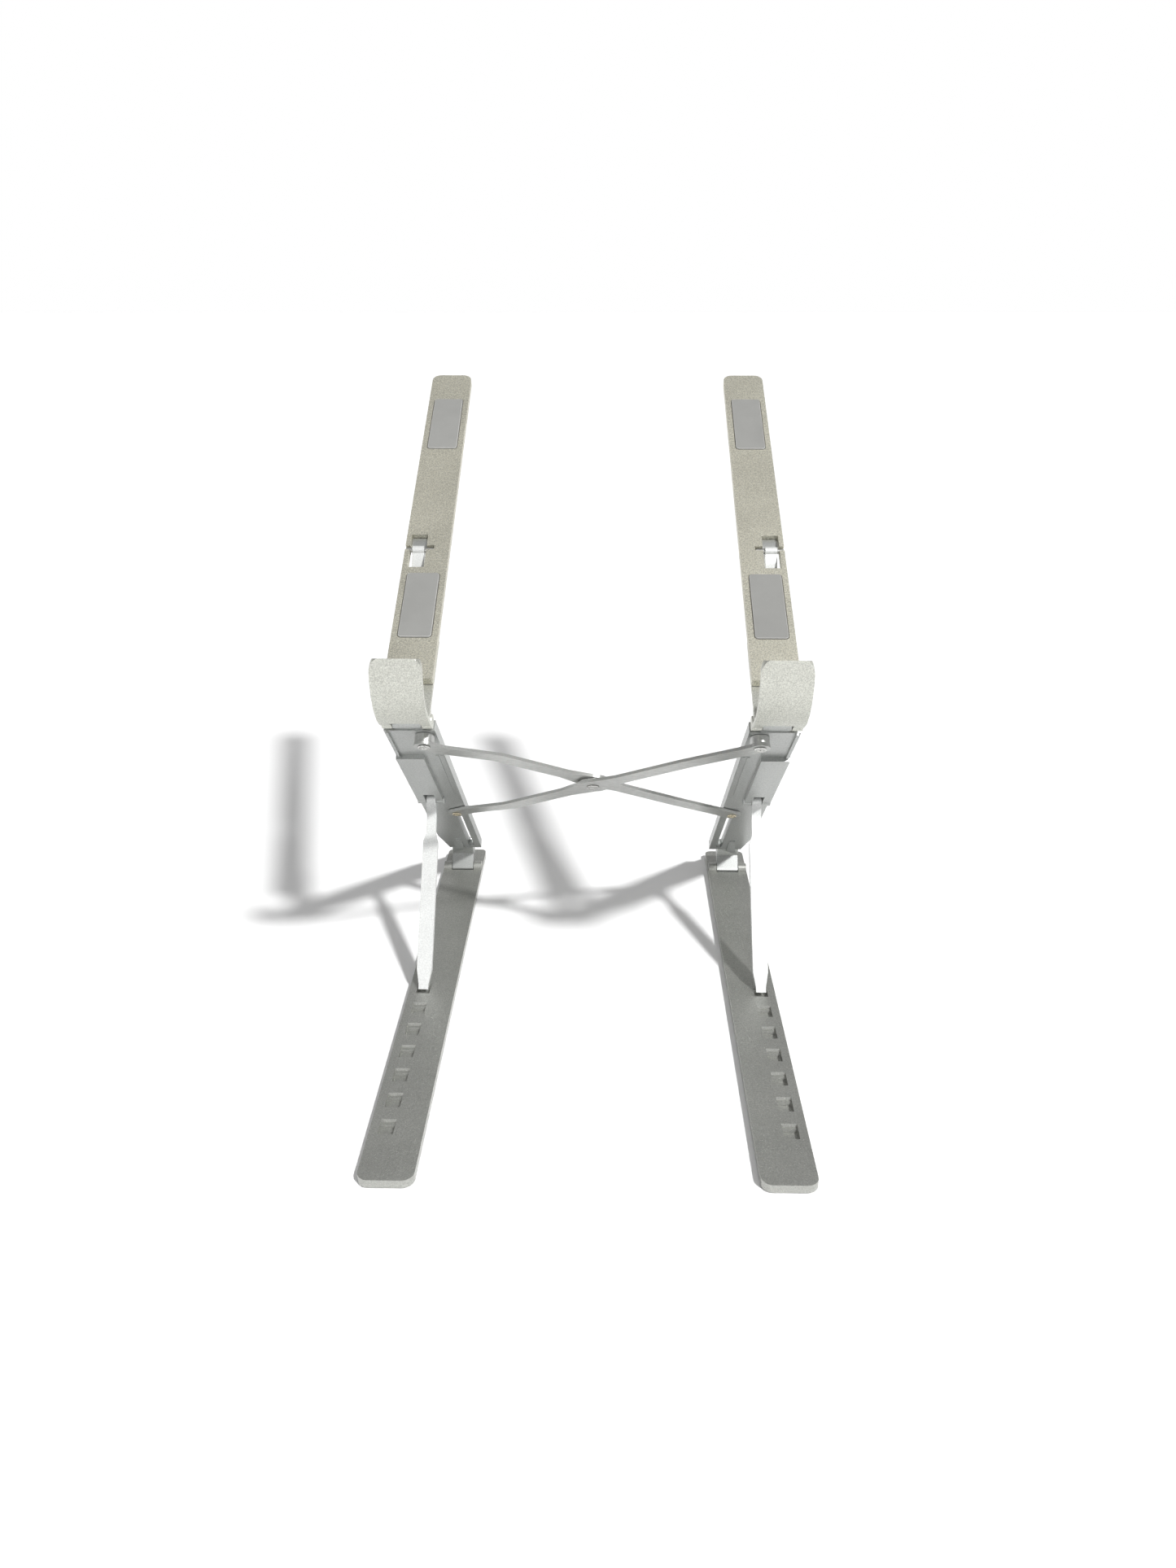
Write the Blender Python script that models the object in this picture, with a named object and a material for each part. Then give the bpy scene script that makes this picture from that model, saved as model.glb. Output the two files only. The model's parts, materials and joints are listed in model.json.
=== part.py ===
"""Folding aluminium laptop stand, modelled as it is assembled.

Two mirror-image sides stand parallel, joined by an X brace.  On each side a base
plate lies on the table, a riser leans forward from the base's rear hinge, and a
top bar slopes back from the riser's head.  A strut holds the riser up and a link
holds the top bar up.

World frame: metres, +Z up, front of the stand towards -Y, origin on the table
under the middle of the stand.  Lengths below are in millimetres.
"""
import math

import bmesh
import bpy
from mathutils import Matrix, Vector

MM = 0.001
SIDES = {"left": -1, "right": 1}

# Driving dimensions.
BAR_SPACING = 150.0
FOLDED_SPACING = 22.5
STAND_LENGTH = 300.0
RISER_TILT = math.radians(41.3)
BAR_TILT = math.radians(29.9)

# Base plate: y is measured from its front edge.
BASE_LENGTH = 272.4
BASE_WIDTH = 21.5
BASE_BOTTOM = 0.4
BASE_TOP = 3.9
BASE_FRONT_RADIUS = 4.5
BASE_REAR_RADIUS = 3.0
HINGE_Y = 250.0
HINGE_Z = 4.5
BARREL_RADIUS = 2.9
KNUCKLE_WIDTH = 11.6
KNUCKLE_GAP = 0.3
SLOT_COUNT = 7
SLOT_PITCH = 16.2
FRONT_SLOT_Y = 29.5
SLOT_LENGTH = 8.8
SLOT_WIDTH = 6.2
SLOT_DEPTH = 2.4
SLOT_LEDGE_DEPTH = 1.1
SLOT_LEDGE_LENGTH = 2.0
FOOT_LENGTH = 30.0
FOOT_WIDTH = 12.0
FOOT_TOP = 1.1
FOOT_ENDS = (9.0, 205.0)

# Pins.
PIN_RADIUS = 1.2
PIN_HOLE_RADIUS = 1.32
PIN_INSET = 0.35

# Riser: t runs up from the base hinge, n out of its front face.
RISER_WIDTH = 21.2
RISER_START = 7.0
RISER_END = 194.0
RISER_FRONT = -7.3
RISER_FLOOR = -9.3
RISER_REAR = -14.0
HEAD_T = 199.0
HEAD_N = -11.5
HEAD_RADIUS = 3.0
RAISED_INNER = -1.75
RAISED_START = 102.0
RAISED_END = 164.0
RIM_SPAN = (8.7, 9.7)
RIM_HEIGHT = 1.1
LINE_HEIGHT = 0.3
LINE_SPANS = ((-7.9, -6.7), (-10.2, -8.7))
LINE_START = 107.0
LINK_SEAT_START = 187.0
LINK_SEAT_FLOOR_T = 189.5
LINK_SEAT_FLOOR_N = -11.8

# Parts that sit outward of each bar's centre line.
OUTER_OFFSET = 4.1

# Strut: b runs from its pin to its tip, c square to it.
STRUT_T = 101.0
STRUT_N = -9.2
STRUT_RADIUS = 2.6
STRUT_NECK_WIDTH = 4.5
STRUT_BODY_WIDTH = 7.0
STRUT_TIP_WIDTH = 4.6
STRUT_NECK_LENGTH = 17.0
STRUT_NEAR = 2.2
STRUT_FAR = 5.4
TIP_HEIGHT = 4.6
TIP_Y = 126.6

# Top bar: s runs back from the head hinge, m out of its top face.
BAR_START = 14.3
BAR_END = 225.2
BAR_WIDTH = 19.9
BAR_BOTTOM = 6.6
BAR_TOP = 10.1
BAR_REAR_RADIUS = 4.2
BAR_FRONT_RADIUS = 0.8
PAD_WIDTH = 14.2
PAD_PROUD = 0.4
PAD_RECESS = 0.8
PAD_RADIUS = 1.4
PAD_SPANS = {"front": (37.6, 76.4), "rear": (164.4, 204.2)}
LINK_SLOT = (80.5, 101.9)
LINK_SLOT_WIDTH = 7.4
LINK_S = 93.5
LINK_M = 8.2

# Link: b runs from its pin to its tip, c square to it.
LINK_LENGTH = 88.5
LINK_WIDTH = 5.4
LINK_NEAR = 2.0
LINK_FAR = 4.9
LINK_RADIUS = 2.0
LINK_ANGLE = math.radians(188.1)

# Hook.
HOOK_WIDTH = 20.5
HOOK_RADIUS = 27.0
HOOK_THICK = 2.0
HOOK_CENTRE = (18.5, 17.0)
HOOK_TOP = 36.9
HOOK_CORNER = 4.2
TAIL_BOTTOM = 4.3
TAIL_TOP = 6.3
TAIL_END = 76.0
TAIL_INNER = -9.8
TAIL_OUTER = -0.6
TAIL_RIVETS = {"front": 46.0, "rear": 68.0}
TAIL_RIVET_A = -5.2

# X brace.
BRACE_A = -5.6
BRACE_UPPER_T = 188.5
BRACE_LOWER_T = 79.5
ARM_WIDTH = 8.0
ARM_THICK = 1.4
ARM_END_RADIUS = 4.3
ARM_HUB_RADIUS = 7.2
ARM_HUB_TAPER = 16.0
ARM_UPPER_N = -5.6
ARM_LOWER_N = -9.0
HUB_REAR_N = -8.6
HUB_FRONT_N = -6.3
ARM_FLAT_HALF = 52.0
ARM_SLOPE_END = 80.0
ARM_RIVET_RADIUS = 1.5
SLIDER_RADIUS = 1.15
SLIDER_SLOT_WIDTH = 2.9

ROUND = 32


def clear_scene():
    for obj in list(bpy.data.objects):
        bpy.data.objects.remove(obj, do_unlink=True)


def metal(name, colour, roughness, metallic=1.0):
    material = bpy.data.materials.new(name)
    material.use_nodes = True
    shader = material.node_tree.nodes["Principled BSDF"]
    shader.inputs["Base Color"].default_value = (*colour, 1.0)
    shader.inputs["Roughness"].default_value = roughness
    shader.inputs["Metallic"].default_value = metallic
    return material


def make_object(name, mesh):
    obj = bpy.data.objects.new(name, mesh)
    bpy.context.collection.objects.link(obj)
    return obj


def prism(outline, low, high, axis="z"):
    """Extrude a closed outline.  axis z: outline is (x, y); axis x: outline is (y, z)."""
    bm = bmesh.new()

    def point(pair, depth):
        coords = (pair[0], pair[1], depth) if axis == "z" else (depth, pair[0], pair[1])
        return bm.verts.new(Vector(coords) * MM)

    bottom = [point(pair, low) for pair in outline]
    top = [point(pair, high) for pair in outline]
    bm.faces.new(bottom)
    bm.faces.new(top)
    count = len(outline)
    for i in range(count):
        j = (i + 1) % count
        bm.faces.new((bottom[i], bottom[j], top[j], top[i]))
    bmesh.ops.recalc_face_normals(bm, faces=bm.faces)
    mesh = bpy.data.meshes.new("prism")
    bm.to_mesh(mesh)
    bm.free()
    return make_object("solid", mesh)


def circle(centre, radius, start=0.0, end=2 * math.pi, steps=ROUND):
    """Points along an arc; a full turn leaves out the repeated last point."""
    full = abs(end - start) > 2 * math.pi - 1e-6
    count = steps if full else steps + 1
    return [(centre[0] + radius * math.cos(start + (end - start) * i / steps),
             centre[1] + radius * math.sin(start + (end - start) * i / steps))
            for i in range(count)]


def rounded_outline(x0, y0, x1, y1, front_radius, rear_radius=None):
    """Rectangle whose low-y corners have front_radius and high-y corners rear_radius."""
    rear_radius = front_radius if rear_radius is None else rear_radius
    quarter = math.pi / 2
    f, r = front_radius, rear_radius
    points = circle((x1 - f, y0 + f), f, -quarter, 0, 6)
    points += circle((x1 - r, y1 - r), r, 0, quarter, 6)
    points += circle((x0 + r, y1 - r), r, quarter, 2 * quarter, 6)
    points += circle((x0 + f, y0 + f), f, 2 * quarter, 3 * quarter, 6)
    return points


def block(x0, x1, y0, y1, z0, z1):
    x0, x1 = sorted((x0, x1))
    return prism([(x0, y0), (x1, y0), (x1, y1), (x0, y1)], z0, z1)


def rod(y, z, radius, x0, x1):
    x0, x1 = sorted((x0, x1))
    return prism(circle((y, z), radius), x0, x1, axis="x")


def combine(target, tool, operation):
    """Apply one Boolean to target and remove the tool."""
    modifier = target.modifiers.new("cut", "BOOLEAN")
    modifier.operation = operation
    modifier.solver = "EXACT"
    modifier.object = tool
    bpy.context.view_layer.update()
    graph = bpy.context.evaluated_depsgraph_get()
    mesh = bpy.data.meshes.new_from_object(target.evaluated_get(graph))
    target.modifiers.clear()
    target.data = mesh
    bpy.data.objects.remove(tool, do_unlink=True)
    return target


def cut(target, *tools):
    for tool in tools:
        combine(target, tool, "DIFFERENCE")
    return target


def join(target, *tools):
    for tool in tools:
        combine(target, tool, "UNION")
    return target


def lathe(profile, x=0.0, y=0.0):
    """Turn (radius, z) pairs, bottom axis point to top axis point, about a Z line."""
    bm = bmesh.new()
    rings = []
    for radius, z in profile:
        if radius == 0.0:
            rings.append([bm.verts.new(Vector((x, y, z)) * MM)])
        else:
            rings.append([bm.verts.new(Vector((px, py, z)) * MM)
                          for px, py in circle((x, y), radius)])
    for low, high in zip(rings, rings[1:]):
        for i in range(ROUND):
            j = (i + 1) % ROUND
            corners = [low[i % len(low)], low[j % len(low)], high[j % len(high)], high[i % len(high)]]
            unique = list(dict.fromkeys(corners))
            if len(unique) > 2:
                bm.faces.new(unique)
    bmesh.ops.recalc_face_normals(bm, faces=bm.faces)
    mesh = bpy.data.meshes.new("lathe")
    bm.to_mesh(mesh)
    bm.free()
    return make_object("solid", mesh)


def tube_ring(outer, inner, z0, z1, x=0.0, y=0.0):
    ring = prism(circle((x, y), outer), z0, z1)
    return cut(ring, prism(circle((x, y), inner), z0 - 1, z1 + 1))


def rivet_profile(bottom, top, shaft, bottom_head, top_head, bottom_thick, top_thick, dimple=0.8):
    """Rivet standing along Z, with a dimple in its top head."""
    edge = 0.2
    return [(0.0, bottom), (bottom_head - edge, bottom), (bottom_head, bottom + edge),
            (bottom_head, bottom + bottom_thick), (shaft, bottom + bottom_thick),
            (shaft, top - top_thick), (top_head, top - top_thick), (top_head, top - edge),
            (top_head - edge, top), (dimple + edge, top), (dimple, top - edge),
            (dimple * 0.8, top - 0.5 * top_thick), (0.0, top - 0.5 * top_thick)]


def finish(obj, name, material, frame, bevel=0.0, sharp=35.0):
    """Name, colour, soften and place a solid that was built in its frame's own axes."""
    obj.name = name
    obj.data.name = name
    obj.data.materials.clear()
    obj.data.materials.append(material)
    for polygon in obj.data.polygons:
        polygon.material_index = 0
    if bevel:
        modifier = obj.modifiers.new("edge", "BEVEL")
        modifier.width = bevel * MM
        modifier.segments = 2
        modifier.limit_method = "ANGLE"
        modifier.angle_limit = math.radians(50)
    obj.data.shade_smooth()
    obj.data.set_sharp_from_angle(angle=math.radians(sharp))
    obj.parent = frame
    return obj


def frame_empty(name, x, y, z, tilt=0.0, parent=None, spin=0.0):
    """Empty on a joint's axis.  tilt turns it about X, spin about its own Z first."""
    empty = bpy.data.objects.new(name, None)
    bpy.context.collection.objects.link(empty)
    turn = Matrix.Rotation(tilt, 4, "X") @ Matrix.Rotation(spin, 4, "Z")
    empty.matrix_local = Matrix.Translation(Vector((x, y, z)) * MM) @ turn
    empty.parent = parent
    return empty


def knuckle_holes(centre_y, centre_z, width):
    return rod(centre_y, centre_z, PIN_HOLE_RADIUS, -width, width)


def build_base(side_name, side, frame, paint):
    half = BASE_WIDTH / 2
    plate = prism(rounded_outline(-half, 0, half, BASE_LENGTH, BASE_FRONT_RADIUS, BASE_REAR_RADIUS),
                  BASE_BOTTOM, BASE_TOP)
    seat = [(HINGE_Y - BARREL_RADIUS, BASE_BOTTOM + 1), (HINGE_Y + BARREL_RADIUS, BASE_BOTTOM + 1)]
    seat += circle((HINGE_Y, HINGE_Z), BARREL_RADIUS, 0, math.pi, 16)
    barrel_half = half - 0.3
    join(plate, prism(seat, -barrel_half, barrel_half, axis="x"))
    notch_half = KNUCKLE_WIDTH / 2 + KNUCKLE_GAP
    cut(plate, block(-notch_half, notch_half, HINGE_Y - 3.4, HINGE_Y + 5.4, -1, 12))
    cut(plate, knuckle_holes(HINGE_Y, HINGE_Z, half - 1.0))
    centre = side * OUTER_OFFSET
    for index in range(SLOT_COUNT):
        y = FRONT_SLOT_Y + index * SLOT_PITCH
        y0, y1 = y - SLOT_LENGTH / 2, y + SLOT_LENGTH / 2
        scoop = [(y0, BASE_TOP + 1), (y0, BASE_TOP - SLOT_DEPTH + 0.5), (y0 + 0.8, BASE_TOP - SLOT_DEPTH),
                 (y1 - SLOT_LEDGE_LENGTH - 0.6, BASE_TOP - SLOT_DEPTH),
                 (y1 - SLOT_LEDGE_LENGTH, BASE_TOP - SLOT_LEDGE_DEPTH),
                 (y1 - 0.5, BASE_TOP - SLOT_LEDGE_DEPTH), (y1, BASE_TOP), (y1, BASE_TOP + 1)]
        cut(plate, prism(scoop, centre - SLOT_WIDTH / 2, centre + SLOT_WIDTH / 2, axis="x"))
    for y in FOOT_ENDS:
        hole = rounded_outline(-FOOT_WIDTH / 2 - 0.3, y - 0.3, FOOT_WIDTH / 2 + 0.3, y + FOOT_LENGTH + 0.3, 2.3)
        cut(plate, prism(hole, -1, FOOT_TOP + 0.2))
    finish(plate, f"base_plate_{side_name}", paint["base"], frame)
    for place, y in zip(("front", "rear"), FOOT_ENDS):
        foot = prism(rounded_outline(-FOOT_WIDTH / 2, y, FOOT_WIDTH / 2, y + FOOT_LENGTH, 2.0), 0, FOOT_TOP)
        finish(foot, f"foot_{place}_{side_name}", paint["rubber"], frame)
    reach = half - 1.0 - PIN_INSET
    finish(rod(HINGE_Y, HINGE_Z, PIN_RADIUS, -reach, reach), f"base_hinge_pin_{side_name}",
           paint["steel"], frame)


def build_riser(side_name, side, frame, paint):
    half = RISER_WIDTH / 2
    tab = KNUCKLE_WIDTH / 2
    cut_low, cut_high = 6.6, 31.0
    outline = [(-half, RISER_START), (half - 3.4, cut_low + 0.4), (half, cut_high),
               (half, RISER_END), (-half, RISER_END)]
    plate = prism([(side * a, t) for a, t in outline], RISER_REAR, RISER_FLOOR)
    # The outer side stands proud beside the strut; a rim and two ribs run along the rest.
    join(plate, block(side * RAISED_INNER, side * half, RAISED_START, RAISED_END,
                      RISER_FLOOR - 1, RISER_FRONT))
    join(plate, block(side * RIM_SPAN[0], side * RIM_SPAN[1], RAISED_END - 1, RISER_END,
                      RISER_FLOOR - 1, RISER_FLOOR + RIM_HEIGHT))
    for inner, outer in LINE_SPANS:
        join(plate, block(side * inner, side * outer, LINE_START, RAISED_END, RISER_FLOOR - 1,
                          RISER_FLOOR + LINE_HEIGHT))
    # Slot for the sliding end of the brace.
    slot_half = SLIDER_SLOT_WIDTH / 2
    slot_x = side * BRACE_A
    slot = circle((slot_x, BRACE_LOWER_T + 0.5), slot_half, 0, math.pi, 12)
    slot += circle((slot_x, 12.3), slot_half, math.pi, 2 * math.pi, 12)
    cut(plate, prism(slot, -20, 0))
    centre = side * OUTER_OFFSET
    # Lower hinge tab and knuckle.
    leg = [(RISER_START + 2, RISER_REAR), (RISER_START + 2, RISER_FLOOR - 0.2), (7.3, RISER_FLOOR - 0.2),
           (3.0, RISER_FLOOR + 2.5), (2.4, 0)]
    leg += circle((0, 0), BARREL_RADIUS, math.radians(35), math.pi, 16)
    leg += [(-3.0, RISER_REAR + 1.5), (-1.6, RISER_REAR)]
    join(plate, prism(leg, -tab, tab, axis="x"))
    gusset = [(-0.9, 25.0), (2.0, 25.0), (4.6, 4.0), (-0.9, 4.0)]
    join(plate, prism([(side * a, t) for a, t in gusset], RISER_FLOOR - 1, RISER_FLOOR + 0.7))
    cut(plate, rod(0, 0, PIN_HOLE_RADIUS, -tab - 2, tab + 2))
    # Upper hinge neck and knuckle.
    neck = [(RISER_END - 2, RISER_REAR), (HEAD_T, HEAD_N - HEAD_RADIUS + 0.4)]
    neck += circle((HEAD_T, HEAD_N), HEAD_RADIUS, -math.pi / 2, math.pi / 2, 16)
    neck += [(RISER_END - 2, RISER_FLOOR - 1.5)]
    join(plate, prism(neck, -tab, tab, axis="x"))
    cut(plate, rod(HEAD_T, HEAD_N, PIN_HOLE_RADIUS, -tab - 2, tab + 2))
    # Seat for the link's tip in the rear face.
    seat = [(LINK_SEAT_START, RISER_REAR), (LINK_SEAT_FLOOR_T, LINK_SEAT_FLOOR_N),
            (RISER_END + 1, LINK_SEAT_FLOOR_N), (RISER_END + 1, RISER_REAR - 1),
            (LINK_SEAT_START, RISER_REAR - 1)]
    seat_half = LINK_WIDTH / 2 + 0.6
    cut(plate, prism(seat, centre - seat_half, centre + seat_half, axis="x"))
    # Ears for the strut's pin, with the notch that its knuckle turns in.
    lug = circle((STRUT_T, STRUT_N), STRUT_RADIUS, 0, math.pi, 16)
    lug += [(STRUT_T - STRUT_RADIUS, RISER_REAR + 1), (STRUT_T + STRUT_RADIUS, RISER_REAR + 1)]
    lug_span = sorted((side * -2.4, side * half))
    join(plate, prism(lug, *lug_span, axis="x"))
    notch_half = STRUT_NECK_WIDTH / 2 + KNUCKLE_GAP
    cut(plate, block(centre - notch_half, centre + notch_half, STRUT_T - 3.6, STRUT_T + 4.8,
                     STRUT_N - STRUT_RADIUS - 0.5, 0))
    cut(plate, block(centre - notch_half, centre + notch_half, STRUT_T + 4, STRUT_T + 11,
                     RISER_FLOOR - 0.9, 0))
    cut(plate, rod(STRUT_T, STRUT_N, PIN_HOLE_RADIUS, side * -1.6, side * (half + 2)))
    # Hole for the brace's upper rivet.
    cut(plate, prism(circle((slot_x, BRACE_UPPER_T), ARM_RIVET_RADIUS + 0.12), -20, 0))
    finish(plate, f"riser_{side_name}", paint["riser"], frame)

    pin = rod(STRUT_T, STRUT_N, PIN_RADIUS, side * -1.3, side * (half - 0.3))
    finish(pin, f"strut_pin_{side_name}", paint["steel"], frame)
    head_reach = HOOK_WIDTH / 2 - 1.0 - PIN_INSET
    pin = rod(HEAD_T, HEAD_N, PIN_RADIUS, -head_reach, head_reach)
    finish(pin, f"head_hinge_pin_{side_name}", paint["steel"], frame)
    spacer = tube_ring(4.1, ARM_RIVET_RADIUS + 0.12, RISER_FLOOR + 0.15, ARM_UPPER_N - 0.15,
                       slot_x, BRACE_UPPER_T)
    finish(spacer, f"brace_spacer_{side_name}", paint["brace"], frame)
    rivet = lathe(rivet_profile(RISER_REAR - 0.9, ARM_UPPER_N + ARM_THICK + 0.7, ARM_RIVET_RADIUS, 2.4, 2.6,
                                0.8, 0.6), slot_x, BRACE_UPPER_T)
    finish(rivet, f"brace_rivet_{side_name}", paint["steel"], frame)


def strut_rest():
    """Height of the strut's pin, and the strut's angle about X when its tip meets the rear pocket."""
    pin_y = HINGE_Y - STRUT_T * math.cos(RISER_TILT) - STRUT_N * math.sin(RISER_TILT)
    pin_z = HINGE_Z + STRUT_T * math.sin(RISER_TILT) - STRUT_N * math.cos(RISER_TILT)
    reach_y, reach_z = TIP_Y - pin_y, TIP_HEIGHT - pin_z
    offset = (STRUT_NEAR + STRUT_FAR) / 2
    return pin_z, math.atan2(reach_z, reach_y) - math.asin(offset / math.hypot(reach_y, reach_z))


def build_strut(side_name, side, frame, paint):
    pin_z, world_angle = strut_rest()
    down, across = -math.sin(world_angle), math.cos(world_angle)
    near_end = (pin_z - TIP_HEIGHT + STRUT_NEAR * across) / down
    far_end = (pin_z - TIP_HEIGHT + STRUT_FAR * across) / down
    centre = side * OUTER_OFFSET
    profile = [(-1.0, 2.4), (5.0, STRUT_FAR), (far_end, STRUT_FAR), (near_end, STRUT_NEAR),
               (9.0, STRUT_NEAR), (2.0, -1.6)]
    body_half = STRUT_BODY_WIDTH / 2
    body = prism(profile, centre - body_half, centre + body_half, axis="x")
    neck_half, tip_half = STRUT_NECK_WIDTH / 2, STRUT_TIP_WIDTH / 2
    shoulder = STRUT_NECK_LENGTH + 4.0
    tip_start = far_end - 7.0
    plan = [(-neck_half, -5), (neck_half, -5), (neck_half, STRUT_NECK_LENGTH), (body_half, shoulder),
            (body_half, tip_start), (tip_half, far_end), (tip_half, far_end + 9), (-tip_half, far_end + 9),
            (-tip_half, far_end), (-body_half, tip_start), (-body_half, shoulder),
            (-neck_half, STRUT_NECK_LENGTH)]
    join(body, rod(0, 0, STRUT_RADIUS, centre - neck_half, centre + neck_half))
    combine(body, prism([(centre + x, y) for x, y in plan], -10, 10), "INTERSECT")
    cut(body, rod(0, 0, PIN_HOLE_RADIUS, centre - 9, centre + 9))
    finish(body, f"strut_{side_name}", paint["strut"], frame, bevel=0.25)


def hook_arc(radius, low, high, steps=14):
    """Arc of the hook between two heights, as (s, m) points from low to high."""
    cs, cm = HOOK_CENTRE
    start = math.pi - math.asin((low - cm) / radius)
    end = math.pi - math.asin((high - cm) / radius)
    return circle(HOOK_CENTRE, radius, start, end, steps)


def build_hook(side_name, side, frame, paint):
    half = HOOK_WIDTH / 2
    inner = HOOK_RADIUS - HOOK_THICK
    outline = hook_arc(HOOK_RADIUS, -0.6, HOOK_TOP)
    inner_top = HOOK_CENTRE[1] + (HOOK_TOP - HOOK_CENTRE[1]) * inner / HOOK_RADIUS
    outline += list(reversed(hook_arc(inner, 0.6, inner_top)))
    hook = prism(outline, -half, half, axis="x")
    join(hook, rod(0, 0, HEAD_RADIUS, -half, half))
    web = [(-3.2, 2.0), (1.0, 2.4), (4.0, TAIL_BOTTOM), (TAIL_END, TAIL_BOTTOM), (TAIL_END, TAIL_TOP),
           (-4.6, TAIL_TOP)]
    tail_span = sorted((side * TAIL_INNER, side * TAIL_OUTER))
    join(hook, prism(web, *tail_span, axis="x"))
    notch_half = KNUCKLE_WIDTH / 2 + KNUCKLE_GAP
    cut(hook, rod(0, 0, HEAD_RADIUS + 1.1, -notch_half, notch_half))
    cut(hook, block(-notch_half, notch_half, -8, 3.5, -9, 5.2))
    cut(hook, rod(0, 0, PIN_HOLE_RADIUS, -half + 1.0, half - 1.0))
    # Round the lip's two top corners.
    lip = rounded_outline(-half, -9, half, HOOK_TOP + 0.05, 0.01, HOOK_CORNER)
    keep = prism(lip, -40, 90)
    keep.data.transform(Matrix.Rotation(math.pi / 2, 4, "X"))
    combine(hook, keep, "INTERSECT")
    for s in TAIL_RIVETS.values():
        cut(hook, prism(circle((side * TAIL_RIVET_A, s), 1.5), 0, 9))
    finish(hook, f"hook_{side_name}", paint["hook"], frame, bevel=0.25)


def build_top_bar(side_name, side, frame, paint):
    half = BAR_WIDTH / 2
    centre = side * OUTER_OFFSET
    bar = prism(rounded_outline(-half, BAR_START, half, BAR_END, BAR_FRONT_RADIUS, BAR_REAR_RADIUS),
                BAR_BOTTOM, BAR_TOP)
    cut(bar, block(centre - LINK_SLOT_WIDTH / 2, centre + LINK_SLOT_WIDTH / 2, *LINK_SLOT, 0, 20))
    groove = 1.35
    cut(bar, block(side * -3.0, side * (half + 1), LINK_S - groove, LINK_S + groove, LINK_M - groove, 20))
    for s in TAIL_RIVETS.values():
        cut(bar, prism(circle((side * TAIL_RIVET_A, s), 1.5), 0, 20))
    for place, (start, end) in PAD_SPANS.items():
        edge = PAD_WIDTH / 2
        cut(bar, prism(rounded_outline(-edge - 0.3, start - 0.3, edge + 0.3, end + 0.3, PAD_RADIUS + 0.3),
                       BAR_TOP - PAD_RECESS, 20))
        pad = prism(rounded_outline(-edge, start, edge, end, PAD_RADIUS),
                    BAR_TOP - PAD_RECESS + 0.1, BAR_TOP + PAD_PROUD)
        finish(pad, f"pad_{place}_{side_name}", paint["silicone"], frame)
    finish(bar, f"top_bar_{side_name}", paint["bar"], frame)
    for place, s in TAIL_RIVETS.items():
        rivet = lathe([(0, TAIL_BOTTOM - 0.7), (2.2, TAIL_BOTTOM - 0.7), (2.5, TAIL_BOTTOM - 0.1),
                       (1.4, TAIL_BOTTOM - 0.1), (1.4, BAR_TOP - PAD_RECESS - 0.2),
                       (0, BAR_TOP - PAD_RECESS - 0.2)], side * TAIL_RIVET_A, s)
        finish(rivet, f"tail_rivet_{place}_{side_name}", paint["steel"], frame)
    pin = rod(LINK_S, LINK_M, PIN_RADIUS, side * -2.7, side * (half - 0.2))
    finish(pin, f"link_pin_{side_name}", paint["steel"], frame)


def build_link(side_name, side, frame, paint):
    centre = side * OUTER_OFFSET
    profile = [(-1.8, 0.6), (-1.4, LINK_FAR), (LINK_LENGTH, LINK_FAR), (LINK_LENGTH, LINK_FAR - 1.2),
               (LINK_LENGTH - 3, LINK_NEAR), (9.0, LINK_NEAR), (1.8, -0.6)]
    half = LINK_WIDTH / 2
    body = prism(profile, centre - half, centre + half, axis="x")
    join(body, rod(0, 0, LINK_RADIUS, centre - half, centre + half))
    cut(body, rod(0, 0, PIN_HOLE_RADIUS, centre - 9, centre + 9))
    finish(body, f"link_{side_name}", paint["strut"], frame)


def arm_length():
    across = BAR_SPACING + 2 * BRACE_A
    along = BRACE_UPPER_T - BRACE_LOWER_T
    return math.hypot(across, along)


def arm_angle(spacing):
    """Angle between an arm and the risers at a given bar spacing."""
    return math.asin((spacing + 2 * BRACE_A) / arm_length())


def build_arm(name, hub_n, frame, paint):
    """Flat arm along +Y of its frame, joggled between its upper end, hub and lower end."""
    length = arm_length()
    middle = length / 2
    heights = [(-ARM_END_RADIUS, ARM_UPPER_N), (middle - ARM_SLOPE_END, ARM_UPPER_N),
               (middle - ARM_FLAT_HALF, hub_n), (middle + ARM_FLAT_HALF, hub_n),
               (middle + ARM_SLOPE_END, ARM_LOWER_N), (length + ARM_END_RADIUS, ARM_LOWER_N)]
    side_view = heights + [(y, n + ARM_THICK) for y, n in reversed(heights)]
    arm = prism(side_view, -10, 10, axis="x")
    half = ARM_WIDTH / 2
    plan = prism([(-half, 0), (half, 0), (half, length), (-half, length)], -20, 0)
    eye = [(-half, middle - ARM_HUB_TAPER), (half, middle - ARM_HUB_TAPER), (ARM_HUB_RADIUS - 1.2, middle - 5.0),
           (ARM_HUB_RADIUS - 1.2, middle + 5.0), (half, middle + ARM_HUB_TAPER), (-half, middle + ARM_HUB_TAPER),
           (1.2 - ARM_HUB_RADIUS, middle + 5.0), (1.2 - ARM_HUB_RADIUS, middle - 5.0)]
    join(plan, prism(circle((0, 0), ARM_END_RADIUS), -21, 1), prism(circle((0, length), ARM_END_RADIUS), -22, 2),
         prism(circle((0, middle), ARM_HUB_RADIUS), -23, 3), prism(eye, -24, 4))
    combine(arm, plan, "INTERSECT")
    hole = ARM_RIVET_RADIUS + 0.12
    cut(arm, prism(circle((0, 0), hole), -20, 0), prism(circle((0, middle), hole), -20, 0),
        prism(circle((0, length), SLIDER_RADIUS + 0.12), -20, 0))
    finish(arm, name, paint["brace"], frame)


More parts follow.
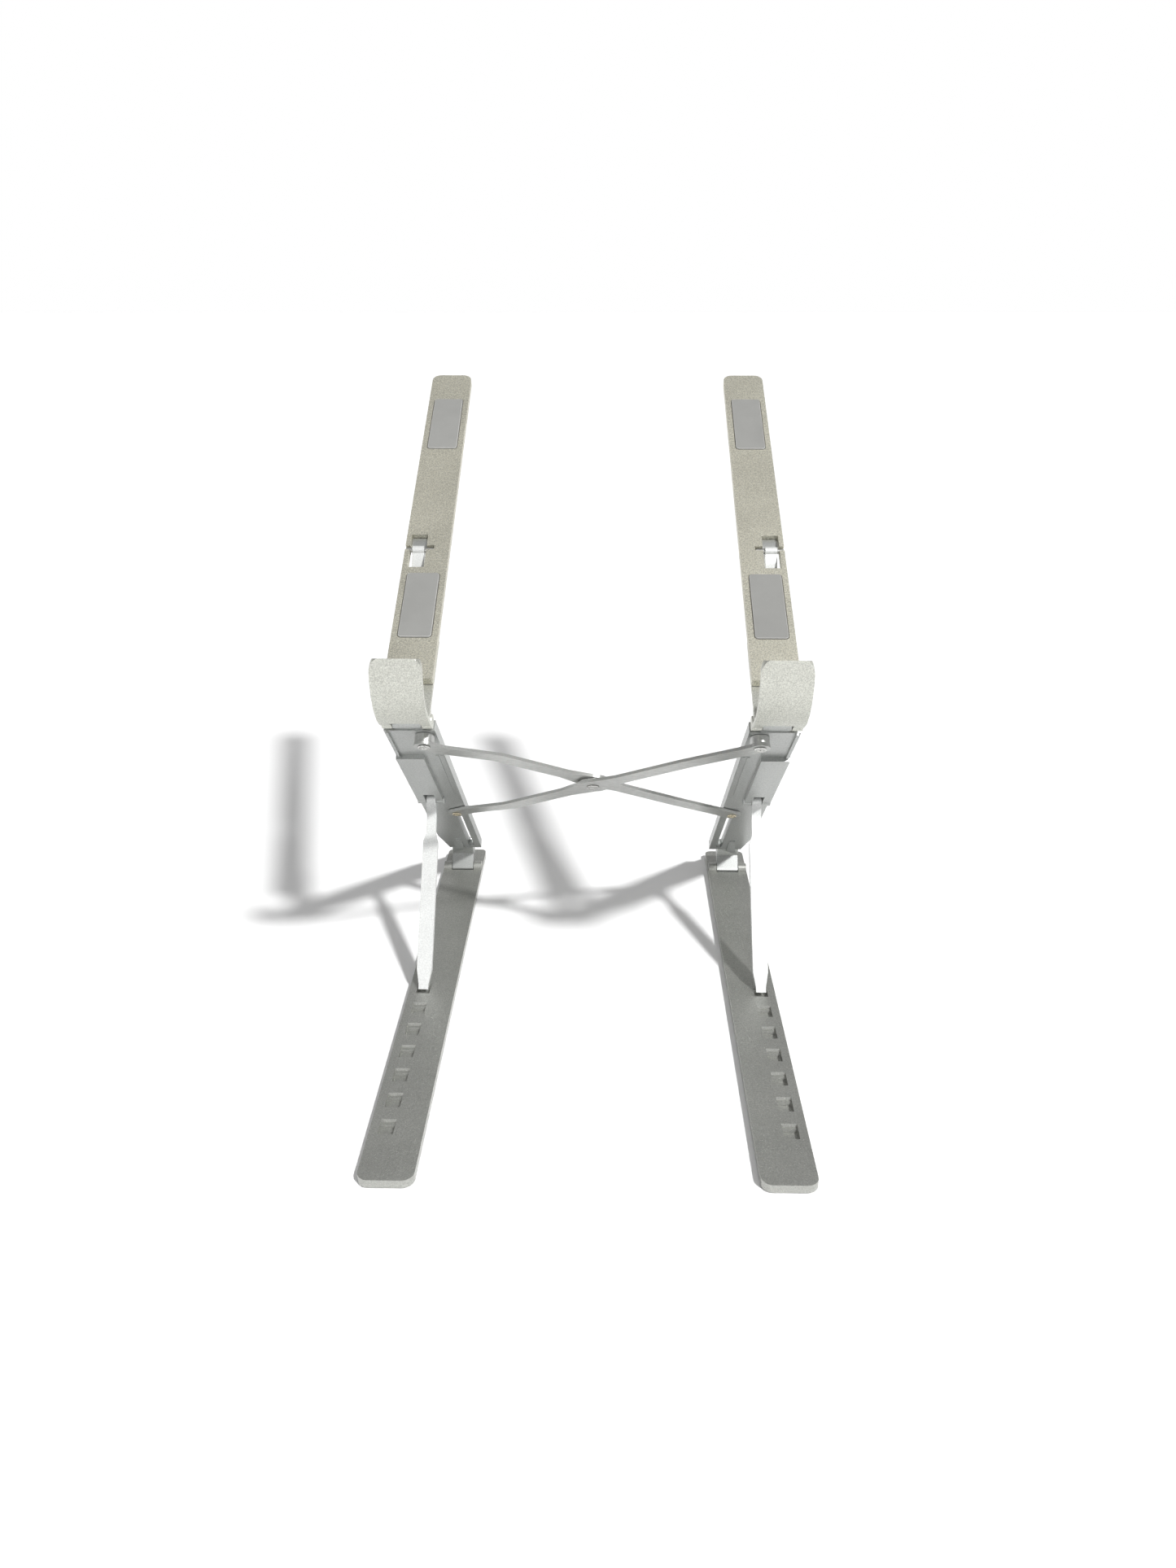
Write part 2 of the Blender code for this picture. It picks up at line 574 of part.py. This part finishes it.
def build_slider(name, frame, paint):
    """Brass-toned rivet at an arm's lower end, headed so that it slides in the riser's slot."""
    top = ARM_LOWER_N + ARM_THICK + 0.6
    profile = [(0.0, RISER_REAR - 0.9), (2.1, RISER_REAR - 0.9), (2.3, RISER_REAR - 0.7),
               (2.3, RISER_REAR - 0.2), (SLIDER_RADIUS, RISER_REAR - 0.2),
               (SLIDER_RADIUS, ARM_LOWER_N + ARM_THICK + 0.1), (2.3, ARM_LOWER_N + ARM_THICK + 0.1),
               (2.3, top - 0.2), (2.1, top), (1.0, top), (0.8, top - 0.3), (0.0, top - 0.3)]
    finish(lathe(profile, 0, arm_length()), name, paint["brass"], frame)


def build_brace(base_frame, paint):
    """Both arms hang from the risers' upper pivots and cross at the hub."""
    angle = arm_angle(BAR_SPACING)
    upper_x = BAR_SPACING / 2 + BRACE_A
    middle = arm_length() / 2
    for name, side, hub_n in (("a", -1, HUB_REAR_N), ("b", 1, HUB_FRONT_N)):
        frame = riser_frame(f"brace_arm_{name}_axis", side * upper_x, BRACE_UPPER_T, 0.0, base_frame,
                            spin=math.pi - side * angle)
        build_arm(f"brace_arm_{name}", hub_n, frame, paint)
        other = "right" if side < 0 else "left"
        build_slider(f"slider_rivet_{other}", frame, paint)
        if name == "a":
            rivet = lathe(rivet_profile(HUB_REAR_N - 0.4, HUB_FRONT_N + ARM_THICK + 0.7, ARM_RIVET_RADIUS,
                                        3.0, 2.9, 0.32, 0.6, 0.9), 0, middle)
            finish(rivet, "hub_rivet", paint["steel"], frame)
            washer = tube_ring(6.6, ARM_RIVET_RADIUS + 0.15, HUB_REAR_N + ARM_THICK + 0.1, HUB_FRONT_N - 0.1,
                               0, middle)
            finish(washer, "hub_washer", paint["steel"], frame)


def riser_frame(name, x, t, n, parent, spin=0.0):
    """Empty at a point given in riser axes, with its Y up the riser and Z out of its front."""
    y = HINGE_Y - t * math.cos(RISER_TILT) - n * math.sin(RISER_TILT)
    z = HINGE_Z + t * math.sin(RISER_TILT) - n * math.cos(RISER_TILT)
    return frame_empty(name, x, y, z, math.pi - RISER_TILT, parent, spin)


def bar_frame(name, x, s, m, parent, extra=0.0):
    """Empty at a point given in top-bar axes about the head hinge."""
    head_y = HINGE_Y - HEAD_T * math.cos(RISER_TILT) - HEAD_N * math.sin(RISER_TILT)
    head_z = HINGE_Z + HEAD_T * math.sin(RISER_TILT) - HEAD_N * math.cos(RISER_TILT)
    y = head_y + s * math.cos(BAR_TILT) - m * math.sin(BAR_TILT)
    z = head_z + s * math.sin(BAR_TILT) + m * math.cos(BAR_TILT)
    return frame_empty(name, x, y, z, BAR_TILT + extra, parent)


def build_side(side_name, side, stand, paint):
    x = side * BAR_SPACING / 2
    build_base(side_name, side, frame_empty(f"base_{side_name}_axis", x, 0, 0, 0, stand), paint)
    build_riser(side_name, side, riser_frame(f"riser_{side_name}_axis", x, 0, 0, stand), paint)
    _, world_angle = strut_rest()
    strut_axis = riser_frame(f"strut_{side_name}_axis", x, STRUT_T, STRUT_N, stand)
    strut_axis.rotation_euler = (world_angle, 0, 0)
    build_strut(side_name, side, strut_axis, paint)
    top_axis = bar_frame(f"top_{side_name}_axis", x, 0, 0, stand)
    build_hook(side_name, side, top_axis, paint)
    build_top_bar(side_name, side, top_axis, paint)
    link_axis = bar_frame(f"link_{side_name}_axis", x, LINK_S, LINK_M, stand, LINK_ANGLE)
    build_link(side_name, side, link_axis, paint)


def main():
    clear_scene()
    paint = {
        "bar": metal("champagne_blasted_aluminium", (0.52, 0.50, 0.42), 0.42),
        "hook": metal("hook_aluminium", (0.60, 0.61, 0.56), 0.38),
        "riser": metal("riser_aluminium", (0.42, 0.43, 0.42), 0.40),
        "base": metal("base_aluminium", (0.33, 0.34, 0.32), 0.36),
        "strut": metal("strut_aluminium", (0.78, 0.79, 0.77), 0.35),
        "brace": metal("brace_steel", (0.55, 0.55, 0.53), 0.35),
        "steel": metal("pin_steel", (0.60, 0.60, 0.58), 0.30),
        "brass": metal("slider_brass", (0.62, 0.54, 0.36), 0.32),
        "silicone": metal("grey_silicone", (0.40, 0.40, 0.38), 0.70, 0.0),
        "rubber": metal("dark_rubber", (0.05, 0.05, 0.05), 0.80, 0.0),
    }
    stand = frame_empty("stand_origin", 0, -STAND_LENGTH / 2, 0)
    for side_name, side in SIDES.items():
        build_side(side_name, side, stand, paint)
    build_brace(stand, paint)


main()
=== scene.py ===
"""Looks for the folding laptop stand: rounded metal skins, silicone pads, studio and camera."""
import json
import math

import bmesh
import bpy
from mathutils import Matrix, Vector


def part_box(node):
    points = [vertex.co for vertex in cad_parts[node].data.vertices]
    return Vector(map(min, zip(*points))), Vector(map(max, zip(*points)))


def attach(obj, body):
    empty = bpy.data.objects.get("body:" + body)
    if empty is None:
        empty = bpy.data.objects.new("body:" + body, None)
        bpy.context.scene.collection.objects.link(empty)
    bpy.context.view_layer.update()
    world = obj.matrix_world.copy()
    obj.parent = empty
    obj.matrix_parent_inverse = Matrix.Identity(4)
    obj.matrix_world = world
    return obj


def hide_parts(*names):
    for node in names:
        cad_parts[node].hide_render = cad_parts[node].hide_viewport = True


MM = 0.001
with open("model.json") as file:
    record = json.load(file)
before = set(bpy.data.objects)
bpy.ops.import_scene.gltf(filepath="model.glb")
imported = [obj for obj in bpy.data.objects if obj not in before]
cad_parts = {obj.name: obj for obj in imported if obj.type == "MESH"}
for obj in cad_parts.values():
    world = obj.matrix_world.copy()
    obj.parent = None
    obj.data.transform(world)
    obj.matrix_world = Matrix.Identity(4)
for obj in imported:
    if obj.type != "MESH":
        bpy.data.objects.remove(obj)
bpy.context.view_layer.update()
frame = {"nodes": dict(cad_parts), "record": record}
BODY_OF = {node: body for body, nodes in frame["record"]["behaviour"]["bodies"].items() for node in nodes}
SLOT_OF = {entry["node"]: entry["material_slot"] for entry in frame["record"]["subparts"]}
SIDES = {"left": -1, "right": 1}
# Pockets and the link's slot lie this far from the middle of the stand, outwards of their bar's centre line.
SLOT_LINE_X = 0.075 + 0.0041
# Angles of the risers and of the top bars above the table.
RISER_TILT = math.radians(41.3)
BAR_TILT = math.radians(29.9)
# The strut's grain follows its length.
STRUT_GRAIN_TURN = 0.99


# ---------------------------------------------------------------- materials

class Graph:
    """Small helper that adds and wires nodes of one material."""

    def __init__(self, name):
        self.material = bpy.data.materials.new(name)
        self.material.use_nodes = True
        self.tree = self.material.node_tree
        self.shader = self.tree.nodes["Principled BSDF"]
        self.coords = self.add("ShaderNodeTexCoord").outputs["Object"]

    def add(self, kind, **settings):
        node = self.tree.nodes.new(kind)
        for key, value in settings.items():
            setattr(node, key, value)
        return node

    def link(self, source, target):
        self.tree.links.new(source, target)

    def noise(self, scale, detail=3.0, roughness=0.5, vector=None):
        """Noise on the object's own coordinates, or on the ones handed in."""
        node = self.add("ShaderNodeTexNoise")
        node.inputs["Scale"].default_value = scale
        node.inputs["Detail"].default_value = detail
        node.inputs["Roughness"].default_value = roughness
        self.link(self.coords if vector is None else vector, node.inputs["Vector"])
        return node.outputs["Fac"]

    def stretched(self, scale, rotation=(0.0, 0.0, 0.0)):
        """Coordinates turned by rotation, then scaled, for streaks along one direction."""
        turn = self.add("ShaderNodeVectorRotate", rotation_type="EULER_XYZ")
        turn.inputs["Rotation"].default_value = rotation
        self.link(self.coords, turn.inputs["Vector"])
        grow = self.add("ShaderNodeMapping")
        grow.inputs["Scale"].default_value = scale
        self.link(turn.outputs["Vector"], grow.inputs["Vector"])
        return grow.outputs["Vector"]

    def span(self, value, low, high, out_low, out_high):
        """Maps low..high to out_low..out_high and clamps the result."""
        node = self.add("ShaderNodeMapRange")
        for socket, number in zip(("From Min", "From Max", "To Min", "To Max"), (low, high, out_low, out_high)):
            node.inputs[socket].default_value = number
        self.link(value, node.inputs["Value"])
        return node.outputs["Result"]

    def math(self, operation, a, b):
        node = self.add("ShaderNodeMath", operation=operation)
        for socket, value in zip(node.inputs, (a, b)):
            if isinstance(value, (int, float)):
                socket.default_value = value
            else:
                self.link(value, socket)
        return node.outputs["Value"]

    def blend(self, factor, a, b):
        """Mixes two colours, each a tuple or a socket."""
        node = self.add("ShaderNodeMix", data_type="RGBA", blend_type="MIX")
        if isinstance(factor, (int, float)):
            node.inputs["Factor"].default_value = factor
        else:
            self.link(factor, node.inputs["Factor"])
        for socket, value in zip((node.inputs[6], node.inputs[7]), (a, b)):
            if isinstance(value, tuple):
                socket.default_value = (*value, 1.0)
            else:
                self.link(value, socket)
        return node.outputs[2]

    def bump(self, height, distance, strength):
        node = self.add("ShaderNodeBump")
        node.inputs["Distance"].default_value = distance
        node.inputs["Strength"].default_value = strength
        self.link(height, node.inputs["Height"])
        return node.outputs["Normal"]


def shade(colour, factor):
    """The colour made lighter or darker, kept below white."""
    return tuple(min(1.0, channel * factor) for channel in colour)


def blasted_metal(name, colour, roughness, grain=0.14, grain_scale=2300.0, streak=0.0, tilt=0.0, metallic=0.85):
    """Anodised aluminium with a bead-blasted grain, soft cloudiness and rare painted glints, tiny highlights
    painted into the base colour.
    """
    g = Graph(name)
    cloud = g.span(g.noise(26.0, 4.0), 0.35, 0.65, 0.0, 1.0)
    tone = g.blend(cloud, shade(colour, 0.95), shade(colour, 1.05))
    speck = g.noise(grain_scale, 2.0, 0.7)
    pale = g.span(speck, 0.50, 0.66, 0.0, 1.0)
    dark = g.span(speck, 0.50, 0.34, 0.0, 1.0)
    tone = g.blend(g.math("MULTIPLY", pale, grain * 2.2), tone, shade(colour, 1.7))
    tone = g.blend(g.math("MULTIPLY", dark, grain * 2.4), tone, shade(colour, 0.40))
    # Painted highlight: rare near-white glints painted into the base colour, stronger where the grain is
    # stronger.
    painted_glint = g.span(g.noise(grain_scale * 1.7, 0.0), 0.70, 0.78, 0.0, 1.0)
    tone = g.blend(g.math("MULTIPLY", painted_glint, min(1.0, grain * 3.0)), tone, (0.95, 0.95, 0.90))
    rough = g.span(speck, 0.30, 0.70, roughness + 0.08, roughness - 0.08)
    rough = g.math("ADD", rough, g.span(cloud, 0.0, 1.0, -0.02, 0.03))
    height = speck
    if streak:
        lines = g.noise(1.0, 3.0, 0.6, g.stretched((2600.0, 30.0, 2600.0), (-tilt, 0.0, 0.0)))
        height = g.math("ADD", height, g.math("MULTIPLY", lines, streak * 2.0))
        tone = g.blend(g.span(lines, 0.40, 0.62, 0.0, streak), tone, shade(colour, 1.35))
        rough = g.math("ADD", rough, g.span(lines, 0.35, 0.65, -0.03, 0.03))
    g.link(tone, g.shader.inputs["Base Color"])
    g.link(rough, g.shader.inputs["Roughness"])
    g.link(g.bump(height, 0.00003, 0.55), g.shader.inputs["Normal"])
    g.shader.inputs["Metallic"].default_value = metallic
    return g.material


def brushed_steel(name, colour, roughness, tilt=0.0):
    """Stamped steel with fine rolling lines and tiny pits."""
    g = Graph(name)
    lines = g.noise(1.0, 3.0, 0.65, g.stretched((300.0, 1500.0, 3000.0), (-tilt, 0.0, 0.0)))
    pits = g.span(g.noise(1800.0, 2.0, 0.6), 0.36, 0.30, 0.0, 1.0)
    tone = g.blend(g.span(lines, 0.35, 0.65, 0.0, 1.0), shade(colour, 0.88), shade(colour, 1.10))
    tone = g.blend(g.math("MULTIPLY", pits, 0.4), tone, shade(colour, 0.45))
    g.link(tone, g.shader.inputs["Base Color"])
    g.link(g.span(lines, 0.35, 0.65, roughness + 0.07, roughness - 0.05), g.shader.inputs["Roughness"])
    g.link(g.bump(g.math("SUBTRACT", lines, pits), 0.00002, 0.5), g.shader.inputs["Normal"])
    g.shader.inputs["Metallic"].default_value = 0.9
    return g.material


def turned_metal(name, colour, roughness):
    """Pins and rivets: smooth, with faint handling marks."""
    g = Graph(name)
    cloud = g.noise(420.0, 4.0, 0.6)
    tone = g.blend(g.span(cloud, 0.35, 0.65, 0.0, 1.0), shade(colour, 0.80), shade(colour, 1.10))
    g.link(tone, g.shader.inputs["Base Color"])
    g.link(g.span(cloud, 0.35, 0.65, roughness + 0.08, roughness - 0.06), g.shader.inputs["Roughness"])
    g.link(g.bump(cloud, 0.00002, 0.4), g.shader.inputs["Normal"])
    g.shader.inputs["Metallic"].default_value = 0.95
    return g.material


def silicone(name, colour, roughness):
    """Matte moulded silicone with a fine stipple and faint dust."""
    g = Graph(name)
    stipple = g.noise(3200.0, 2.0, 0.6)
    dust = g.span(g.noise(900.0, 4.0, 0.7), 0.56, 0.72, 0.0, 1.0)
    cloud = g.noise(55.0, 3.0)
    tone = g.blend(g.span(cloud, 0.35, 0.65, 0.0, 1.0), shade(colour, 0.96), shade(colour, 1.04))
    tone = g.blend(g.math("MULTIPLY", dust, 0.10), tone, shade(colour, 1.5))
    g.link(tone, g.shader.inputs["Base Color"])
    g.link(g.span(cloud, 0.3, 0.7, roughness - 0.04, roughness + 0.05), g.shader.inputs["Roughness"])
    g.link(g.bump(stipple, 0.00004, 0.5), g.shader.inputs["Normal"])
    g.shader.inputs["Specular IOR Level"].default_value = 0.3
    return g.material


# Per record slot: the finish of the faces, and a lighter material for the rounded edges, which paints a
# highlight along them.
FACES = {
    # Partly painted light: the hook's colour is set lighter and the base's darker, standing in for the lamp
    # lighting the hooks more strongly than the base.
    "bar": blasted_metal("blasted_champagne", (0.57, 0.555, 0.47), 0.50, grain=0.20, grain_scale=1600.0),
    "hook": blasted_metal("blasted_hook", (0.58, 0.585, 0.535), 0.46, grain=0.14, grain_scale=1800.0),
    "riser": blasted_metal("satin_riser", (0.42, 0.43, 0.42), 0.38, grain=0.08, grain_scale=1800.0, streak=0.20,
                           tilt=-RISER_TILT),
    "base": blasted_metal("satin_base", (0.42, 0.425, 0.40), 0.34, grain=0.12, grain_scale=1600.0, streak=0.04,
                          metallic=0.75),
    "strut": blasted_metal("bright_strut", (0.60, 0.61, 0.60), 0.48, grain=0.08, grain_scale=1700.0, streak=0.10,
                           tilt=STRUT_GRAIN_TURN, metallic=0.3),
    "brace": brushed_steel("brace_steel", (0.50, 0.505, 0.49), 0.36, tilt=-RISER_TILT),
    "steel": turned_metal("pin_steel", (0.55, 0.55, 0.53), 0.28),
    "brass": turned_metal("pale_brass", (0.55, 0.48, 0.33), 0.30),
    "silicone": silicone("grey_silicone", (0.25, 0.25, 0.24), 0.70),
    "rubber": silicone("dark_rubber", (0.035, 0.035, 0.036), 0.75),
}
# Painted highlight: lighter copies of each finish for the rounded edges, as if light caught them.
EDGES = {
    "bar": blasted_metal("champagne_edge", (0.66, 0.65, 0.57), 0.36, grain=0.08),
    "hook": blasted_metal("hook_edge", (0.74, 0.74, 0.70), 0.32, grain=0.06),
    "riser": blasted_metal("riser_edge", (0.58, 0.59, 0.58), 0.32, grain=0.04),
    "base": blasted_metal("base_edge", (0.52, 0.525, 0.50), 0.30, grain=0.05),
    "strut": blasted_metal("strut_edge", (0.56, 0.57, 0.56), 0.40, grain=0.03, metallic=0.4),
    "brace": brushed_steel("brace_edge", (0.68, 0.685, 0.67), 0.28, tilt=-RISER_TILT),
    "steel": turned_metal("pin_edge", (0.68, 0.68, 0.66), 0.22),
    "brass": turned_metal("brass_edge", (0.68, 0.61, 0.45), 0.24),
    "silicone": silicone("silicone_edge", (0.36, 0.36, 0.35), 0.60),
    "rubber": silicone("rubber_edge", (0.05, 0.05, 0.052), 0.70),
}
# Painted light: the pockets' floors and rear walls, which face up or forwards, get a much brighter material than
# the plate's face, as if lit.
LIT_POCKET_PAINT = blasted_metal("pocket_painted_light", (0.86, 0.88, 0.88), 0.30, grain=0.03, metallic=0.2)


# ---------------------------------------------------------------- skins

# Edge radius in millimetres that each kind of node is rounded to.
EDGE_RADIUS = {"bar": 0.45, "hook": 0.5, "riser": 0.35, "base": 0.5, "strut": 0.45, "brace": 0.3,
               "steel": 0.2, "brass": 0.2, "silicone": 0.3, "rubber": 0.35}
BEVEL_SEGMENTS = 3
BEVEL_ABOVE_ANGLE = math.radians(38)
# Faces of the CAD's mesh that lie within this angle of each other are merged before bevelling.
FLAT_ANGLE = math.radians(0.6)
WELD_DISTANCE = 0.002 * MM
NORMAL_WEIGHT = 90
# Material indices of a skin.
FACE_INDEX, EDGE_INDEX, POCKET_LIGHT_INDEX = 0, 1, 2
# Where the base plates' pockets are, in millimetres.
PLATE_TOP = 3.9
POCKET_HALF_WIDTH = 3.3
POCKET_DEPTHS = (0.4, 2.6)
POCKETS_END = 135.0
# A face counts as a pocket's floor or rear wall, and gets the painted light, when its normal leans this much up
# or forward.
POCKET_NORMAL = 0.3


def head_hinge():
    """Where the head hinge's axis crosses the side plane."""
    low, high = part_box("head_hinge_pin_left")
    return (low[1] + high[1]) / 2, (low[2] + high[2]) / 2


def paint_pocket_light(bm, node_name):
    """Paints light in the pockets: their floors and rear walls get a brighter material than the plate's face."""
    low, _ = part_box(node_name)
    side = SIDES["left" if node_name.endswith("left") else "right"]
    centre = side * SLOT_LINE_X
    shallow, deep = (depth * MM for depth in POCKET_DEPTHS)
    for face in bm.faces:
        spot = face.calc_center_median()
        in_row = abs(spot.x - centre) < POCKET_HALF_WIDTH * MM and spot.y < low[1] + POCKETS_END * MM
        sunk = shallow < PLATE_TOP * MM - spot.z < deep
        if in_row and sunk and (face.normal.z > POCKET_NORMAL or face.normal.y < -POCKET_NORMAL):
            face.material_index = POCKET_LIGHT_INDEX


def skin(node_name):
    """A rounded-edged copy of a CAD node that is shown in its place."""
    slot = SLOT_OF[node_name]
    source = frame["nodes"][node_name]
    bm = bmesh.new()
    bm.from_mesh(source.data)
    bmesh.ops.remove_doubles(bm, verts=bm.verts, dist=WELD_DISTANCE)
    bmesh.ops.dissolve_limit(bm, angle_limit=FLAT_ANGLE, verts=bm.verts, edges=bm.edges,
                             use_dissolve_boundaries=False)
    for face in bm.faces:
        face.smooth = True
        face.material_index = FACE_INDEX
    if slot == "base":
        paint_pocket_light(bm, node_name)
    mesh = bpy.data.meshes.new(f"skin_{node_name}")
    bm.to_mesh(mesh)
    bm.free()
    mesh.materials.clear()
    mesh.materials.append(FACES[slot])
    mesh.materials.append(EDGES[slot])
    # The base plates also carry the pockets' painted light.
    if slot == "base":
        mesh.materials.append(LIT_POCKET_PAINT)
    piece = bpy.data.objects.new(f"skin_{node_name}", mesh)
    bpy.context.collection.objects.link(piece)
    bevel = piece.modifiers.new("round", "BEVEL")
    bevel.width = EDGE_RADIUS[slot] * MM
    bevel.segments = BEVEL_SEGMENTS
    bevel.limit_method = "ANGLE"
    bevel.angle_limit = BEVEL_ABOVE_ANGLE
    bevel.use_clamp_overlap = True
    # The bevel's faces get the lighter edge material, a painted highlight.
    bevel.material = EDGE_INDEX
    weigh = piece.modifiers.new("weigh", "WEIGHTED_NORMAL")
    weigh.keep_sharp = True
    weigh.weight = NORMAL_WEIGHT
    bpy.context.view_layer.update()
    graph = bpy.context.evaluated_depsgraph_get()
    final = bpy.data.meshes.new_from_object(piece.evaluated_get(graph))
    piece.modifiers.clear()
    piece.data = final
    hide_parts(node_name)
    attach(piece, BODY_OF[node_name])


for node_name in sorted(frame["nodes"]):
    skin(node_name)


# Section of the slot's shelf in millimetres: along the top bar from the head hinge, and above that line.
SHELF_SECTION = ((96.2, 7.0), (101.6, 7.0), (101.6, 8.0), (98.6, 8.0), (96.2, 7.4))
SHELF_HALF_WIDTH = 3.5
SHELF_EDGE = 0.12


def slot_shelf(side_name, side):
    """Thin shelf that closes the rear half of the link's slot from below."""
    hinge_y, hinge_z = head_hinge()
    cos_tilt, sin_tilt = math.cos(BAR_TILT), math.sin(BAR_TILT)
    centre = side * SLOT_LINE_X
    bm = bmesh.new()
    ends = []
    for x in (centre - SHELF_HALF_WIDTH * MM, centre + SHELF_HALF_WIDTH * MM):
        ends.append([bm.verts.new((x, hinge_y + (s * cos_tilt - m * sin_tilt) * MM,
                                   hinge_z + (s * sin_tilt + m * cos_tilt) * MM)) for s, m in SHELF_SECTION])
    bm.faces.new(ends[0])
    bm.faces.new(ends[1])
    for i in range(len(SHELF_SECTION)):
        j = (i + 1) % len(SHELF_SECTION)
        bm.faces.new((ends[0][i], ends[0][j], ends[1][j], ends[1][i]))
    bmesh.ops.recalc_face_normals(bm, faces=bm.faces)
    bmesh.ops.bevel(bm, geom=list(bm.edges), offset=SHELF_EDGE * MM, segments=2, affect="EDGES")
    mesh = bpy.data.meshes.new(f"slot_shelf_{side_name}")
    bm.to_mesh(mesh)
    bm.free()
    mesh.materials.append(FACES["riser"])
    mesh.shade_smooth()
    mesh.set_sharp_from_angle(angle=math.radians(40))
    piece = bpy.data.objects.new(f"slot_shelf_{side_name}", mesh)
    bpy.context.collection.objects.link(piece)
    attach(piece, f"{side_name}_top")


for side_name, side in SIDES.items():
    slot_shelf(side_name, side)


# ---------------------------------------------------------------- studio

FLOOR_HALF_SIZE = 20.0
SUN_STRENGTH = 3.4
SUN_SPREAD = math.radians(4.5)
SUN_DIRECTION = (-0.55, 0.62, -0.95)
FILL_FROM, FILL_AT, FILL_SIZE, FILL_POWER = (-0.5, -0.9, 0.6), (0.0, 0.0, 0.12), 0.5, 1.0
# Brightness of the surroundings by height, from the horizon at 0 to straight up at 1.
SKY_LEVELS = ((0.24, 1.0), (0.32, 0.26), (0.62, 0.25), (0.80, 0.40))
SKY_BELOW, SKY_ZENITH = 1.0, 0.45
CAMERA_LOCATION = (0.0061, -0.4768, 0.3048)
CAMERA_DOWN, CAMERA_TURN = math.radians(23.33), math.radians(1.0)
CAMERA_LENS, CAMERA_SENSOR, CAMERA_NEAR = 34.88, 36.0, 0.01


def studio_material():
    g = Graph("studio_floor")
    tone = g.blend(g.span(g.noise(3.0, 2.0), 0.3, 0.7, 0.0, 1.0), (0.90, 0.90, 0.90), (0.93, 0.93, 0.93))
    g.link(tone, g.shader.inputs["Base Color"])
    g.shader.inputs["Roughness"].default_value = 0.85
    g.shader.inputs["Specular IOR Level"].default_value = 0.1
    return g.material


def studio_floor():
    half = FLOOR_HALF_SIZE
    mesh = bpy.data.meshes.new("studio_floor")
    corners = [(-half, -half, 0.0), (half, -half, 0.0), (half, half, 0.0), (-half, half, 0.0)]
    mesh.from_pydata(corners, [], [(0, 1, 2, 3)])
    floor = bpy.data.objects.new("studio_floor", mesh)
    bpy.context.collection.objects.link(floor)
    mesh.materials.append(studio_material())


def aim(obj, target):
    obj.rotation_euler = (Vector(target) - obj.location).to_track_quat("-Z", "Y").to_euler()


def area_light(name, location, target, size, power):
    data = bpy.data.lights.new(name, "AREA")
    data.shape = "DISK"
    data.size = size
    data.energy = power
    light = bpy.data.objects.new(name, data)
    light.location = location
    bpy.context.collection.objects.link(light)
    aim(light, target)


def studio_lights():
    sun_data = bpy.data.lights.new("key_sun", "SUN")
    sun_data.energy = SUN_STRENGTH
    sun_data.angle = SUN_SPREAD
    sun = bpy.data.objects.new("key_sun", sun_data)
    bpy.context.collection.objects.link(sun)
    sun.rotation_euler = Vector(SUN_DIRECTION).to_track_quat("-Z", "Y").to_euler()
    area_light("front_fill", FILL_FROM, FILL_AT, FILL_SIZE, FILL_POWER)

    world = bpy.data.worlds.new("studio_world")
    bpy.context.scene.world = world
    world.use_nodes = True
    tree = world.node_tree
    background = tree.nodes["Background"]
    coords = tree.nodes.new("ShaderNodeTexCoord")
    split = tree.nodes.new("ShaderNodeSeparateXYZ")
    ramp = tree.nodes.new("ShaderNodeValToRGB")
    tree.links.new(coords.outputs["Generated"], split.inputs["Vector"])
    tree.links.new(split.outputs["Z"], ramp.inputs["Fac"])
    stops = ramp.color_ramp.elements
    stops[0].position = 0.0
    stops[0].color = (SKY_BELOW, SKY_BELOW, SKY_BELOW, 1.0)
    stops[1].position = 1.0
    stops[1].color = (SKY_ZENITH, SKY_ZENITH, SKY_ZENITH, 1.0)
    for position, level in SKY_LEVELS:
        stop = stops.new(position)
        stop.color = (level, level, level, 1.0)
    tree.links.new(ramp.outputs["Color"], background.inputs["Color"])
    background.inputs["Strength"].default_value = 1.0


def studio_camera():
    data = bpy.data.cameras.new("camera")
    data.sensor_fit = "HORIZONTAL"
    data.sensor_width = CAMERA_SENSOR
    data.lens = CAMERA_LENS
    data.clip_start = CAMERA_NEAR
    camera = bpy.data.objects.new("camera", data)
    camera.location = CAMERA_LOCATION
    camera.rotation_euler = (math.radians(90.0) - CAMERA_DOWN, 0.0, CAMERA_TURN)
    bpy.context.collection.objects.link(camera)
    bpy.context.scene.camera = camera


studio_floor()
studio_lights()
studio_camera()
bpy.context.scene.view_settings.view_transform = "Standard"
